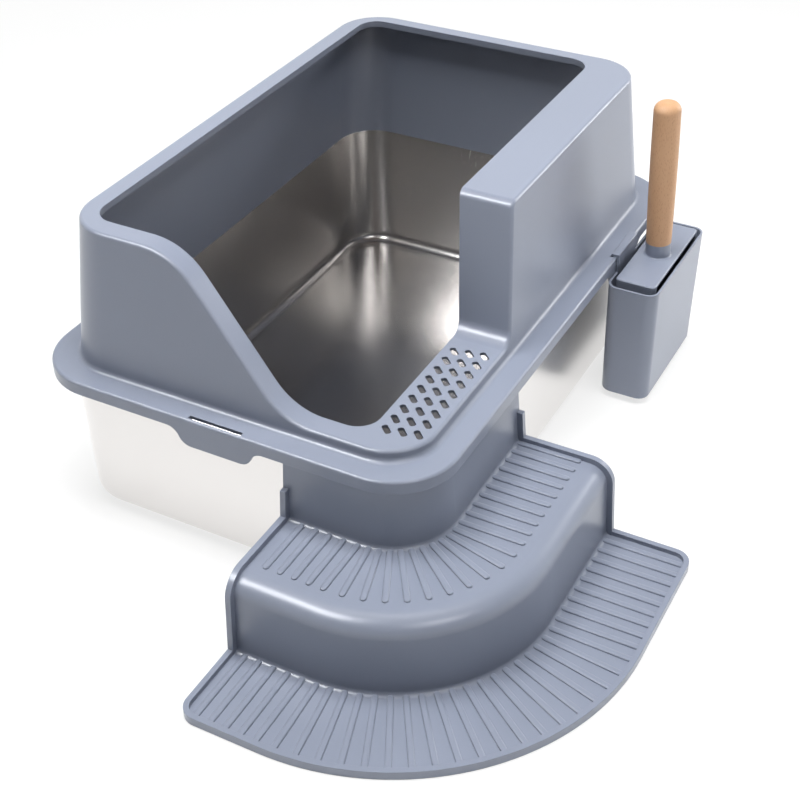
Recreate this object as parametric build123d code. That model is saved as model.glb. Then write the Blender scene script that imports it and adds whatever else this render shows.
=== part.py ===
from build123d import *
from math import asin, cos, degrees, hypot, radians, sin, tan
import os

# Semi-enclosed litter box: a pressed steel pan, a lift-off moulded cover with a high
# fence and a low entry, moulded corner steps, and a scoop that stands in a holder
# hooked on the cover's edge.
#
# Millimetres. The origin is the centre of the pan's underside, +Z is up, +Y runs back
# along the long side, and +X points to the long side that carries the scoop holder.

# Steel pan
PAN_LENGTH = 566.0          # outside, at the top of its walls
PAN_WIDTH = 372.0
PAN_HEIGHT = 150.7
PAN_SHEET = 1.0
PAN_TAPER = 3.0             # each wall leans in this much from top to bottom
PAN_CORNER_RADIUS = 48.0
PAN_FLOOR_RADIUS = 13.0
PAN_RIM_REACH = 11.0        # turned-out rim
PAN_RIM_CORNER_EASE = 2.0   # its corners are this much tighter than an even reach gives
PAN_HEM_DROP = 3.5          # the rim's edge is turned down

# Cover, flange and skirt
SEAT_GAP = 0.3              # between pieces that only rest on each other
COVER_WALL = 3.0
SKIRT_SIDE_CLEARANCE = 4.0  # from the pan's rim to the skirt, on the long sides
SKIRT_END_CLEARANCE = 3.0   # the same at the ends
SKIRT_CORNER_EASE = 1.0     # the skirt's inner corners have this much more radius than the rim's
FLANGE_EDGE_RADIUS = 2.6
SKIRT_DROP = 12.7           # from the flange's top to the skirt's lower edge

# Cover, fence
FENCE_SIDE_INSET = 23.5     # from the flange's edge to the fence's foot, on the long sides
FENCE_END_INSET = 23.0
FENCE_HEIGHT = 141.0        # above the flange
FENCE_LEAN_LENGTH = 10.3    # each end wall leans in this much over the height
FENCE_LEAN_WIDTH = 14.3     # each long wall
FENCE_CORNER_RADIUS = 46.0
FENCE_EDGE_RADIUS = 3.2
FENCE_FOOT_RADIUS = 5.0
BAND_LEFT = 18.5            # width of the top band, from the fence's face to the opening
BAND_RIGHT = 51.5
BAND_FRONT = 20.5
BAND_BACK = 16.0
BAND_CORNER_RADIUS = 22.0
BAND_LIP_DEPTH = 7.0        # the band's inner edge is turned down
BAND_LIP_WALL = 2.4

# Cover, low entry: an S-curve falls along the front, a riser drops on the right
SHELF_HEIGHT = 11.0         # entry shelf above the flange
ENTRY_CURVE_INSET = 260.5   # from the fence's right foot to where the front's edge begins to fall
ENTRY_SLOPE = 51.0          # degrees
ENTRY_TOP_RADIUS = 65.0
ENTRY_FOOT_RADIUS = 60.0
RISER_INSET = 193.0         # from the fence's front foot to the riser's, with no fillet
RISER_LEAN = 10.5           # degrees off vertical
RISER_TOP_RADIUS = 8.0
RISER_FOOT_RADIUS = 15.0

# Cover, litter slots in the shelf
LITTER_SLOT_LENGTH = 9.0
LITTER_SLOT_WIDTH = 6.0
LITTER_SLOT_CORNER_RADIUS = 2.4
LITTER_SLOT_TURN = -28.0    # degrees from X
LITTER_ROW_PITCH = 16.1
LITTER_COLUMN_PITCH = 13.7
LITTER_ROW_SKEW = 2.7       # each column starts this much further back
LITTER_EDGE_MARGIN = 10.3   # from the opening's edge to the first column
LITTER_FRONT_MARGIN = 31.2  # from the fence's front foot to the first row
LITTER_WALL_MARGIN = 12.0   # least distance from the last column to the fence's foot
LITTER_RISER_MARGIN = 30.0  # least distance from the last row to the riser's foot

# Cover, snap tabs: a slot in the flange frees a tongue of the skirt
TAB_WIDTH = 98.0
TAB_TIP_WIDTH = 50.0
TAB_DROP = 16.5             # below the skirt
TAB_SLOT_LENGTH = 54.0
TAB_SLOT_WIDTH = 3.9
TAB_SLOT_INSET = 2.7        # from the flange's edge
TAB_CATCH_HEIGHT = 4.0
TAB_CATCH_LENGTH = 40.0
TAB_CATCH_GAP = 0.4         # from the catches at the ends to the pan's rim
SIDE_TAB_INSET = 153.0      # from the flange's back edge to the long sides' tabs

# Corner steps, measured out from the pan's walls
STEP_WALL = 3.0
STEP_FRONT_RUN = 120.0      # along the pan's front, from its corner's two walls
STEP_SIDE_RUN = 179.0
STEP_CORNER_EASE = 5.0      # the plan's arcs share a centre this much nearer the corner than the pan's
BACK_WALL_TOP_REACH = 11.5
BACK_WALL_FOOT_REACH = 16.5
BACK_WALL_RETURN = 3.0      # thickness of the ledge turned in at the back wall's top
BACK_WALL_CLEARANCE = 2.0   # from that top up to the skirt, so the cover rests on the pan alone
UPPER_TREAD_HEIGHT = 80.0
UPPER_TREAD_REACH = 104.0
RISER_FOOT_REACH = 109.0
NOSE_RADIUS = 18.0
STEP_COVE_RADIUS = 5.0
LOWER_TREAD_HEIGHT = 4.0
LOWER_TREAD_REACH = 191.5
LOWER_END_RADIUS = 16.0
RIM_WIDTH = 5.0
RIM_RISE = 4.5              # the lower tread's rim stands this much over it
END_LIP_WIDTH = 5.5
END_LIP_RISE = 5.5
END_LIP_TOP = 112.0         # the lips stop here on the back wall
TREAD_RIB_WIDTH = 4.6
TREAD_RIB_RISE = 1.3
TREAD_RIB_DRAFT = 28.0      # degrees
UPPER_RIBS = 25
UPPER_RIB_RAIL = 49.0       # reach of the line along which the ribs are evenly spaced
UPPER_RIB_FIRST = 20.0
UPPER_RIB_LAST = 8.0
UPPER_RIB_MARGIN = 6.5      # from the ribs' ends to where the nose begins
LOWER_RIBS = 33
LOWER_RIB_RAIL = 129.0
LOWER_RIB_END_MARGIN = 15.0

# Scoop holder
HOLDER_LENGTH = 154.0       # outside, at its mouth
HOLDER_WIDTH = 53.0
HOLDER_MOUTH_DROP = 17.5    # from the flange's top down to its mouth
HOLDER_FLOOR = 6.5          # its underside, over the ground
HOLDER_OFFSET = 23.0        # its middle is this far behind its hook's
HOLDER_TAPER_LENGTH = 4.5   # each end leans in this much from mouth to floor
HOLDER_TAPER_WIDTH = 1.0
HOLDER_CORNER_RADIUS = 12.0
HOLDER_WALL = 2.2
HOLDER_FLOOR_RADIUS = 3.0
HOLDER_SIDE_GAP = 0.4       # to the skirt
HOOK_END_CLEARANCE = 2.0    # in the slot's length
HOOK_THICKNESS = 2.2
HOOK_BITE = 8.0             # how far its lip goes down into the flange's slot
HOOK_ROOT = 6.6             # how far it runs down the holder's wall

# Scoop
SCOOP_END_GAP = 8.3         # to the holder's end walls, at its mouth
SCOOP_SIDE_GAP = 3.1        # open side to the holder's wall, at its mouth
SCOOP_LENGTH_TAPER = 3.0
SCOOP_STAND_OFF = 4.0       # slotted floor to the holder's wall
SCOOP_PROUD = 4.0           # back plate's top over the holder's mouth
SCOOP_WALL = 2.2
SCOOP_PLATE = 2.6
SCOOP_CORNER_RADIUS = 4.0
SCOOP_EDGE_RADIUS = 1.2
SCOOP_CHEEK_HEIGHT = 48.0   # the side cheeks are full depth this far down from the plate
SCOOP_MOUTH_CHEEK = 10.0    # cheek depth at the mouth
SCOOP_SLOT_MARGIN = 10.0    # least distance from the scoop's end to a slot's middle
SCOOP_SLOT_WIDTH = 3.8
SCOOP_SLOT_PITCH = 8.6
SCOOP_SLOT_LENGTH = 42.0
SCOOP_SLOT_GAP = 9.0        # between the two rows of slots
SCOOP_LIP = 14.0            # plain strip at the mouth

# Handle, its socket and screw
HANDLE_RAKE = 2.2           # degrees, towards the box
SOCKET_DIAMETER = 25.6
SOCKET_HEIGHT = 14.5
SOCKET_WALL = 2.4
SOCKET_FILLET = 2.0
HANDLE_LENGTH = 152.0       # above the socket
HANDLE_MIDDLE_DIAMETER = 27.4
HANDLE_TOP_DIAMETER = 26.6
HANDLE_TIP_RADIUS = 9.0
SPIGOT_CLEARANCE = 0.1
SCREW_SHANK_DIAMETER = 4.0
SCREW_LENGTH = 32.0
SCREW_HEAD_DIAMETER = 8.4
SCREW_HEAD_HEIGHT = 2.8
SCREW_CROSS_WIDTH = 1.0
SCREW_CROSS_DEPTH = 1.0
SCREW_HOLE_CLEARANCE = 0.25

# Heights
FLANGE_UNDERSIDE = PAN_HEIGHT + SEAT_GAP
FLANGE_TOP = FLANGE_UNDERSIDE + COVER_WALL
SKIRT_BOTTOM = FLANGE_TOP - SKIRT_DROP
FENCE_TOP = FLANGE_TOP + FENCE_HEIGHT
SHELF_TOP = FLANGE_TOP + SHELF_HEIGHT
BACK_WALL_TOP = SKIRT_BOTTOM - BACK_WALL_CLEARANCE
HOLDER_MOUTH = FLANGE_TOP - HOLDER_MOUTH_DROP
SCOOP_TOP = HOLDER_MOUTH + SCOOP_PROUD
SCOOP_MOUTH = HOLDER_FLOOR + HOLDER_WALL + SEAT_GAP

# Plan sizes that follow from the pan
PAN_RIM_WIDTH = PAN_WIDTH + 2 * PAN_RIM_REACH
PAN_RIM_LENGTH = PAN_LENGTH + 2 * PAN_RIM_REACH
PAN_RIM_CORNER_RADIUS = PAN_CORNER_RADIUS + PAN_RIM_REACH - PAN_RIM_CORNER_EASE
FLANGE_WIDTH = PAN_RIM_WIDTH + 2 * (SKIRT_SIDE_CLEARANCE + COVER_WALL)
FLANGE_LENGTH = PAN_RIM_LENGTH + 2 * (SKIRT_END_CLEARANCE + COVER_WALL)
FLANGE_CORNER_RADIUS = PAN_RIM_CORNER_RADIUS + SKIRT_CORNER_EASE + COVER_WALL
FENCE_WIDTH = FLANGE_WIDTH - 2 * FENCE_SIDE_INSET
FENCE_LENGTH = FLANGE_LENGTH - 2 * FENCE_END_INSET
ENTRY_CURVE_START = FENCE_WIDTH / 2 - ENTRY_CURVE_INSET
RISER_FOOT = RISER_INSET - FENCE_LENGTH / 2
LITTER_FIRST_X = FENCE_WIDTH / 2 - BAND_RIGHT + LITTER_EDGE_MARGIN
LITTER_FIRST_Y = LITTER_FRONT_MARGIN - FENCE_LENGTH / 2
TAB_CATCH_DEPTH = SKIRT_END_CLEARANCE - TAB_CATCH_GAP
SIDE_TAB_Y = FLANGE_LENGTH / 2 - SIDE_TAB_INSET
STEP_LEFT_END = PAN_WIDTH / 2 - STEP_FRONT_RUN
STEP_BACK_END = STEP_SIDE_RUN - PAN_LENGTH / 2
STEP_CENTRE_INSET = PAN_CORNER_RADIUS - STEP_CORNER_EASE

# Holder and scoop, placed by the flange's edge and the tab's slot
HOLDER_LEFT = FLANGE_WIDTH / 2 + HOLDER_SIDE_GAP
HOLDER_MIDDLE_X = HOLDER_LEFT + HOLDER_WIDTH / 2
HOLDER_MIDDLE_Y = SIDE_TAB_Y + HOLDER_OFFSET
HOOK_LENGTH = TAB_SLOT_LENGTH - 2 * HOOK_END_CLEARANCE
SCOOP_LENGTH = HOLDER_LENGTH - 2 * (HOLDER_WALL + SCOOP_END_GAP)
SCOOP_DEPTH = HOLDER_WIDTH - 2 * HOLDER_WALL - SCOOP_STAND_OFF - SCOOP_SIDE_GAP
SCOOP_MIDDLE_X = HOLDER_LEFT + HOLDER_WALL + SCOOP_STAND_OFF + SCOOP_DEPTH / 2

# Reach of cutting bodies, and tolerances for picking edges
SPAN = 2 * FLANGE_LENGTH
CUT_OVERSHOOT = 1.0         # cutting bodies run this far past a face
SAME_LEVEL = 0.01           # an edge this close to a height or an end lies at it
SAME_FACE = 0.1             # an edge this close to a leaning face lies on it


def rounded_block(width, length, radius, bottom, top, centre=(0, 0)):
    plan = Pos(centre[0], centre[1], bottom) * RectangleRounded(width, length, radius)
    return extrude(plan, top - bottom)


def tapered_block(lower, upper):
    """Four leaning walls through two level rectangles, each (width, length, radius, x, y, z).

    Its upright edges are rounded to the lower rectangle's radius.
    """
    width, length, radius, x, y, bottom = lower
    upper_width, upper_length, _, upper_x, upper_y, top = upper
    height = top - bottom
    lean_x = (upper_width - width) / 2
    lean_y = (upper_length - length) / 2
    block = Pos(x, y, bottom + height / 2) * Box(2 * width, 2 * length, height)
    for side in (-1, 1):
        side_shift = upper_x - x + side * lean_x
        end_shift = upper_y - y + side * lean_y
        side_foot = (x + side * width / 2, y, bottom)
        end_foot = (x, y + side * length / 2, bottom)
        side_wall = Plane(side_foot, z_dir=(side * height, 0, -side * side_shift))
        end_wall = Plane(end_foot, z_dir=(0, side * height, -side * end_shift))
        block = split(block, bisect_by=side_wall, keep=Keep.BOTTOM)
        block = split(block, bisect_by=end_wall, keep=Keep.BOTTOM)
    upright = [e for e in block.edges() if abs((e @ 1).Z - (e @ 0).Z) > SAME_LEVEL]
    return fillet(upright, radius)


# ---------------------------------------------------------------- steel pan

def pan_section(z, inset):
    lean = PAN_TAPER * (1 - z / PAN_HEIGHT)
    shrink = 2 * (lean + inset)
    return (PAN_WIDTH - shrink, PAN_LENGTH - shrink, PAN_CORNER_RADIUS - inset, 0, 0, z)


def steel_pan():
    body = tapered_block(pan_section(0, 0), pan_section(PAN_HEIGHT, 0))
    body = fillet(body.edges().group_by(Axis.Z)[0], PAN_FLOOR_RADIUS)
    hem_bottom = PAN_HEIGHT - PAN_HEM_DROP
    rim = rounded_block(PAN_RIM_WIDTH, PAN_RIM_LENGTH, PAN_RIM_CORNER_RADIUS, hem_bottom, PAN_HEIGHT)
    rim = fillet(rim.edges().group_by(Axis.Z)[-1], PAN_SHEET)
    under_rim = rounded_block(PAN_RIM_WIDTH - 2 * PAN_SHEET, PAN_RIM_LENGTH - 2 * PAN_SHEET,
                              PAN_RIM_CORNER_RADIUS - PAN_SHEET, hem_bottom, PAN_HEIGHT - PAN_SHEET)
    pan = body + (rim - under_rim)
    hollow = tapered_block(pan_section(PAN_SHEET, PAN_SHEET), pan_section(PAN_HEIGHT, PAN_SHEET))
    hollow = fillet(hollow.edges().group_by(Axis.Z)[0], PAN_FLOOR_RADIUS - PAN_SHEET)
    return pan - hollow


# ---------------------------------------------------------------- high-side cover

def fence_section(z, inset):
    lean = (z - FLANGE_TOP) / FENCE_HEIGHT
    width = FENCE_WIDTH - 2 * (FENCE_LEAN_WIDTH * lean + inset)
    length = FENCE_LENGTH - 2 * (FENCE_LEAN_LENGTH * lean + inset)
    return (width, length, FENCE_CORNER_RADIUS - inset, 0, 0, z)


def opening_section(z, outset):
    """Plan of the cover's opening: the fence's section less the band on each side."""
    width, length = fence_section(z, 0)[:2]
    left = -width / 2 + BAND_LEFT - outset
    right = width / 2 - BAND_RIGHT + outset
    front = -length / 2 + BAND_FRONT - outset
    back = length / 2 - BAND_BACK + outset
    radius = BAND_CORNER_RADIUS + outset
    return (right - left, back - front, radius, (left + right) / 2, (front + back) / 2, z)


def entry_curve(inset):
    """Region above the front's S-shaped edge, in X and Z, moved into the wall by the inset."""
    slope = radians(ENTRY_SLOPE)
    top = FENCE_TOP - inset
    foot = SHELF_TOP - inset
    top_radius = ENTRY_TOP_RADIUS - inset
    foot_radius = ENTRY_FOOT_RADIUS + inset
    start = ENTRY_CURVE_START
    top_centre_z = FENCE_TOP - ENTRY_TOP_RADIUS
    foot_centre_z = SHELF_TOP + ENTRY_FOOT_RADIUS
    fall = top_centre_z - foot_centre_z + (ENTRY_TOP_RADIUS + ENTRY_FOOT_RADIUS) * cos(slope)
    run = (ENTRY_TOP_RADIUS + ENTRY_FOOT_RADIUS) * sin(slope) + fall / tan(slope)
    end = start + run
    arc_end = (start + top_radius * sin(slope), top_centre_z + top_radius * cos(slope))
    line_end = (end - foot_radius * sin(slope), foot_centre_z - foot_radius * cos(slope))
    top_middle = (start + top_radius * sin(slope / 2), top_centre_z + top_radius * cos(slope / 2))
    foot_middle = (end - foot_radius * sin(slope / 2), foot_centre_z - foot_radius * cos(slope / 2))
    outline = [
        Line((-SPAN, top), (start, top)),
        ThreePointArc((start, top), top_middle, arc_end),
        Line(arc_end, line_end),
        ThreePointArc(line_end, foot_middle, (end, foot)),
        Line((end, foot), (SPAN, foot)),
        Line((SPAN, foot), (SPAN, SPAN)),
        Line((SPAN, SPAN), (-SPAN, SPAN)),
        Line((-SPAN, SPAN), (-SPAN, top)),
    ]
    return make_face(Curve() + outline)


def riser_curve(inset):
    """Region above the long side's shelf and riser, in Y and Z, moved into the wall by the inset."""
    lean = radians(RISER_LEAN)
    shift = inset / cos(lean)
    top = FENCE_TOP - inset
    foot = SHELF_TOP - inset
    foot_y = RISER_FOOT + shift - inset * tan(lean)
    top_y = foot_y + (top - foot) * tan(lean)
    corners = [(-SPAN, foot), (foot_y, foot), (top_y, top), (SPAN, top), (SPAN, SPAN), (-SPAN, SPAN)]
    outline = make_face(Polyline(*corners, close=True))
    foot_corner = outline.vertices().sort_by_distance((foot_y, foot, 0))[0]
    outline = fillet(foot_corner, RISER_FOOT_RADIUS + inset)
    top_corner = outline.vertices().sort_by_distance((top_y, top, 0))[0]
    return fillet(top_corner, RISER_TOP_RADIUS - inset)


def under_band(inset):
    """All the space below the band's upper face, moved into the wall by the inset."""
    entry = extrude(Plane.XZ * entry_curve(inset), SPAN, both=True)
    riser = extrude(Plane.YZ * riser_curve(inset), SPAN, both=True)
    top = FENCE_TOP - inset
    space = Pos(0, 0, top - SPAN / 2) * Box(SPAN, SPAN, SPAN)
    return space - (entry & riser)


def tab_outline():
    """Half-round-shouldered tongue that hangs from the skirt, drawn in X and Z about its middle."""
    half_run = (TAB_WIDTH - TAB_TIP_WIDTH) / 4
    half_drop = TAB_DROP / 2
    radius = (half_run ** 2 + half_drop ** 2) / (2 * half_drop)
    turn = asin(half_run / radius)
    top = SKIRT_BOTTOM
    tip = top - TAB_DROP
    edges = []
    for side in (-1, 1):
        shoulder = (side * TAB_WIDTH / 2, top)
        waist = (side * (TAB_WIDTH / 2 - half_run), top - half_drop)
        corner = (side * TAB_TIP_WIDTH / 2, tip)
        upper = (side * (TAB_WIDTH / 2 - radius * sin(turn / 2)), top - radius * (1 - cos(turn / 2)))
        lower = (side * (TAB_TIP_WIDTH / 2 + radius * sin(turn / 2)), tip + radius * (1 - cos(turn / 2)))
        edges.append(ThreePointArc(shoulder, upper, waist))
        edges.append(ThreePointArc(waist, lower, corner))
        edges.append(Line(shoulder, (side * TAB_WIDTH / 2, FLANGE_UNDERSIDE)))
    edges.append(Line((-TAB_TIP_WIDTH / 2, tip), (TAB_TIP_WIDTH / 2, tip)))
    edges.append(Line((-TAB_WIDTH / 2, FLANGE_UNDERSIDE), (TAB_WIDTH / 2, FLANGE_UNDERSIDE)))
    return make_face(Curve() + edges)


def snap_tab():
    """Tongue and catch on a skirt whose outer face is the plane Y = 0, with the box on the +Y side."""
    tongue = extrude(Plane.XZ * tab_outline(), -COVER_WALL)
    catch_z = SKIRT_BOTTOM - TAB_DROP / 2
    low = (COVER_WALL, catch_z - TAB_CATCH_HEIGHT / 2)
    high = (COVER_WALL, catch_z + TAB_CATCH_HEIGHT / 2)
    point = (COVER_WALL + TAB_CATCH_DEPTH, catch_z + TAB_CATCH_HEIGHT / 2)
    wedge = make_face(Polyline(low, point, high, close=True))
    catch = extrude(Plane.YZ * wedge, TAB_CATCH_LENGTH / 2, both=True)
    return tongue + catch


def snap_slot():
    z = FLANGE_TOP - COVER_WALL / 2
    y = TAB_SLOT_INSET + TAB_SLOT_WIDTH / 2
    return Pos(0, y, z) * Box(TAB_SLOT_LENGTH, TAB_SLOT_WIDTH, 3 * COVER_WALL)


def snap_places():
    half_length = FLANGE_LENGTH / 2
    half_width = FLANGE_WIDTH / 2
    return [
        Pos(0, -half_length, 0),
        Pos(0, half_length, 0) * Rot(0, 0, 180),
        Pos(half_width, SIDE_TAB_Y, 0) * Rot(0, 0, 90),
        Pos(-half_width, SIDE_TAB_Y, 0) * Rot(0, 0, -90),
    ]


def litter_slots():
    """As many rows and columns of slots as the shelf's margins leave room for."""
    cutter = RectangleRounded(LITTER_SLOT_LENGTH, LITTER_SLOT_WIDTH, LITTER_SLOT_CORNER_RADIUS)
    room_across = FENCE_WIDTH / 2 - LITTER_WALL_MARGIN - LITTER_FIRST_X
    room_along = RISER_FOOT - LITTER_RISER_MARGIN - LITTER_FIRST_Y
    slots = Sketch()
    for column in range(1 + int(room_across / LITTER_COLUMN_PITCH)):
        x = LITTER_FIRST_X + column * LITTER_COLUMN_PITCH
        for row in range(1 + int(room_along / LITTER_ROW_PITCH)):
            y = LITTER_FIRST_Y + row * LITTER_ROW_PITCH + column * LITTER_ROW_SKEW
            slots += Pos(x, y) * Rot(0, 0, LITTER_SLOT_TURN) * cutter
    return extrude(Pos(0, 0, SHELF_TOP - 2 * COVER_WALL) * slots, 4 * COVER_WALL)


def high_side_cover():
    fence = tapered_block(fence_section(FLANGE_UNDERSIDE, 0), fence_section(FENCE_TOP, 0))
    fence = fence & under_band(0)
    flange = rounded_block(FLANGE_WIDTH, FLANGE_LENGTH, FLANGE_CORNER_RADIUS, SKIRT_BOTTOM, FLANGE_TOP)
    flange = fillet(flange.edges().group_by(Axis.Z)[-1], FLANGE_EDGE_RADIUS)
    outer = flange + fence
    brow = [e for e in outer.edges() if is_brow(e)]
    outer = fillet(brow, FENCE_EDGE_RADIUS)
    foot = [e for e in outer.edges() if is_fence_foot(e)]
    outer = fillet(foot, FENCE_FOOT_RADIUS)
    under_flange = rounded_block(FLANGE_WIDTH - 2 * COVER_WALL, FLANGE_LENGTH - 2 * COVER_WALL,
                                 FLANGE_CORNER_RADIUS - COVER_WALL, SKIRT_BOTTOM - COVER_WALL,
                                 FLANGE_UNDERSIDE)
    hollow = tapered_block(fence_section(SKIRT_BOTTOM, COVER_WALL),
                           fence_section(FENCE_TOP, COVER_WALL))
    hollow = hollow & under_band(COVER_WALL)
    opening = tapered_block(opening_section(SKIRT_BOTTOM, 0),
                            opening_section(FENCE_TOP + COVER_WALL, 0))
    lip_outside = tapered_block(opening_section(SKIRT_BOTTOM, BAND_LIP_WALL),
                                opening_section(FENCE_TOP, BAND_LIP_WALL))
    below_lip = Pos(-BAND_LIP_DEPTH, BAND_LIP_DEPTH, -BAND_LIP_DEPTH) * under_band(0)
    lip = (lip_outside & hollow) - below_lip
    cover = outer - under_flange - hollow + lip - opening
    for place in snap_places():
        cover = cover + place * snap_tab() - place * snap_slot()
    return cover - litter_slots()


def is_fence_foot(edge):
    """True on the line where the fence's face meets the flange's top."""
    middle = edge @ 0.5
    level = abs(middle.Z - FLANGE_TOP) < SAME_LEVEL
    return level and abs(distance_from_fence(middle)) < SAME_FACE


def is_brow(edge):
    """True on the line where the fence's face meets the band, all the way round."""
    above_foot = edge.bounding_box().min.Z > FLANGE_TOP + SAME_FACE
    return above_foot and abs(distance_from_fence(edge @ 0.5)) < SAME_FACE


def distance_from_fence(point):
    """Level distance from the fence's outer face, negative inside it."""
    width, length, radius = fence_section(point.Z, 0)[:3]
    past_x = abs(point.X) - (width / 2 - radius)
    past_y = abs(point.Y) - (length / 2 - radius)
    if past_x > 0 and past_y > 0:
        return hypot(past_x, past_y) - radius
    return max(past_x, past_y) - radius


# ---------------------------------------------------------------- corner steps

def step_plan(reach, end_radius=0):
    """Plan of the steps, out to a reach from the pan's walls, round at the pan's corner."""
    right = PAN_WIDTH / 2 + reach
    front = -PAN_LENGTH / 2 - reach
    width = right - STEP_LEFT_END
    length = STEP_BACK_END - front
    plan = Pos((right + STEP_LEFT_END) / 2, (STEP_BACK_END + front) / 2) * Rectangle(width, length)
    corner = plan.vertices().sort_by_distance((right, front, 0))[0]
    plan = fillet(corner, reach + STEP_CENTRE_INSET)
    if end_radius:
        left_tip = plan.vertices().sort_by_distance((STEP_LEFT_END, front, 0))[0]
        plan = fillet(left_tip, end_radius)
        back_tip = plan.vertices().sort_by_distance((right, STEP_BACK_END, 0))[0]
        plan = fillet(back_tip, end_radius)
    return plan


def step_tier(bottom, bottom_reach, top, top_reach):
    lower = Pos(0, 0, bottom) * step_plan(bottom_reach)
    upper = Pos(0, 0, top) * step_plan(top_reach)
    return loft([lower, upper], ruled=True)


def reach_at(z, low, low_reach, high, high_reach):
    return low_reach + (high_reach - low_reach) * (z - low) / (high - low)


def upper_tier(grow, bottom):
    """The block under the upper tread with its rounded nose, grown or shrunk all round."""
    top = UPPER_TREAD_HEIGHT + grow
    spread = (LOWER_TREAD_HEIGHT, RISER_FOOT_REACH, UPPER_TREAD_HEIGHT, UPPER_TREAD_REACH)
    block = step_tier(bottom, reach_at(bottom, *spread) + grow, top, reach_at(top, *spread) + grow)
    outer_edges = []
    for edge in block.edges().group_by(Axis.Z)[-1]:
        middle = edge @ 0.5
        at_left_end = abs(middle.X - STEP_LEFT_END) < SAME_LEVEL
        at_back_end = abs(middle.Y - STEP_BACK_END) < SAME_LEVEL
        if not at_left_end and not at_back_end:
            outer_edges.append(edge)
    return fillet(outer_edges, NOSE_RADIUS + grow)


def back_wall_block(grow, bottom, top):
    spread = (UPPER_TREAD_HEIGHT, BACK_WALL_FOOT_REACH, BACK_WALL_TOP, BACK_WALL_TOP_REACH)
    return step_tier(bottom, reach_at(bottom, *spread) + grow, top, reach_at(top, *spread) + grow)


def end_slabs(width):
    """Thin upright slabs at the two ends of the steps, where the raised lips run."""
    size = 2 * LOWER_TREAD_REACH + PAN_WIDTH
    left = Pos(STEP_LEFT_END + width / 2, -size / 2, 0) * Box(width, size, size)
    back = Pos(size / 2, STEP_BACK_END - width / 2, 0) * Box(size, width, size)
    return left + back


def rib_places(rail_reach, first_margin, last_margin, count):
    """Evenly spaced places along a rail that follows the plan: (x, y, angle out from the box)."""
    radius = rail_reach + STEP_CENTRE_INSET
    centre_x = PAN_WIDTH / 2 - STEP_CENTRE_INSET
    centre_y = STEP_CENTRE_INSET - PAN_LENGTH / 2
    front_run = centre_x - STEP_LEFT_END
    corner_run = radius * radians(90)
    side_run = STEP_BACK_END - centre_y
    pitch = (front_run + corner_run + side_run - first_margin - last_margin) / (count - 1)
    places = []
    for index in range(count):
        along = first_margin + index * pitch
        if along < front_run:
            places.append((STEP_LEFT_END + along, centre_y, -90))
        elif along < front_run + corner_run:
            places.append((centre_x, centre_y, -90 + degrees((along - front_run) / radius)))
        else:
            places.append((centre_x, centre_y + along - front_run - corner_run, 0))
    return places


def tread_ribs(places, start, end, height):
    """Low bars that radiate from the box, round at both ends, with drafted sides."""
    length = end - start
    bar = Pos((start + end) / 2, 0) * SlotOverall(length, TREAD_RIB_WIDTH)
    ribs = []
    for x, y, angle in places:
        foot = Pos(x, y, height) * Rot(0, 0, angle) * bar
        ribs.append(extrude(foot, TREAD_RIB_RISE, taper=TREAD_RIB_DRAFT))
    return ribs


def corner_steps():
    base = extrude(step_plan(LOWER_TREAD_REACH, LOWER_END_RADIUS), LOWER_TREAD_HEIGHT)
    block = base + upper_tier(0, 0) + back_wall_block(0, 0, BACK_WALL_TOP)
    coves = [e for e in block.edges() if is_step_cove(e)]
    block = fillet(coves, STEP_COVE_RADIUS)

    grown = upper_tier(END_LIP_RISE, 0) + back_wall_block(END_LIP_RISE, 0, END_LIP_TOP)
    lips = grown & end_slabs(END_LIP_WIDTH)

    upper_places = rib_places(UPPER_RIB_RAIL, UPPER_RIB_FIRST, UPPER_RIB_LAST, UPPER_RIBS)
    upper_start = BACK_WALL_FOOT_REACH + STEP_CENTRE_INSET
    upper_end = UPPER_TREAD_REACH - NOSE_RADIUS - UPPER_RIB_MARGIN + STEP_CENTRE_INSET
    upper_ribs = tread_ribs(upper_places, upper_start, upper_end, UPPER_TREAD_HEIGHT)
    lower_places = rib_places(LOWER_RIB_RAIL, LOWER_RIB_END_MARGIN, LOWER_RIB_END_MARGIN, LOWER_RIBS)
    lower_start = RISER_FOOT_REACH + STEP_CENTRE_INSET
    lower_end = LOWER_TREAD_REACH - RIM_WIDTH / 2 + STEP_CENTRE_INSET
    lower_ribs = tread_ribs(lower_places, lower_start, lower_end, LOWER_TREAD_HEIGHT)

    rim_top = LOWER_TREAD_HEIGHT + RIM_RISE
    rim = extrude(step_plan(LOWER_TREAD_REACH, LOWER_END_RADIUS), rim_top)
    rim = rim - Pos(0, 0, -CUT_OVERSHOOT) * extrude(inner_rim_plan(), rim_top + 2 * CUT_OVERSHOOT)

    steps = block + lips + rim + upper_ribs + lower_ribs

    tread_under = LOWER_TREAD_HEIGHT - STEP_WALL
    pan_side = back_wall_block(-STEP_WALL, -CUT_OVERSHOOT, BACK_WALL_TOP + CUT_OVERSHOOT)
    under_upper = upper_tier(-STEP_WALL, -CUT_OVERSHOOT) & inner_end_box()
    under_lower = Pos(0, 0, -CUT_OVERSHOOT) * extrude(inner_rim_plan(), CUT_OVERSHOOT + tread_under)
    steps = steps - pan_side - under_upper - under_lower
    return steps + back_wall_return()


def inner_rim_plan():
    return offset(step_plan(LOWER_TREAD_REACH, LOWER_END_RADIUS), -RIM_WIDTH)


def inner_end_box():
    """Everything between the two end walls."""
    size = 2 * LOWER_TREAD_REACH + PAN_WIDTH
    x = STEP_LEFT_END + STEP_WALL + size / 2
    y = STEP_BACK_END - STEP_WALL - size / 2
    return Pos(x, y, 0) * Box(size, size, size)


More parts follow.
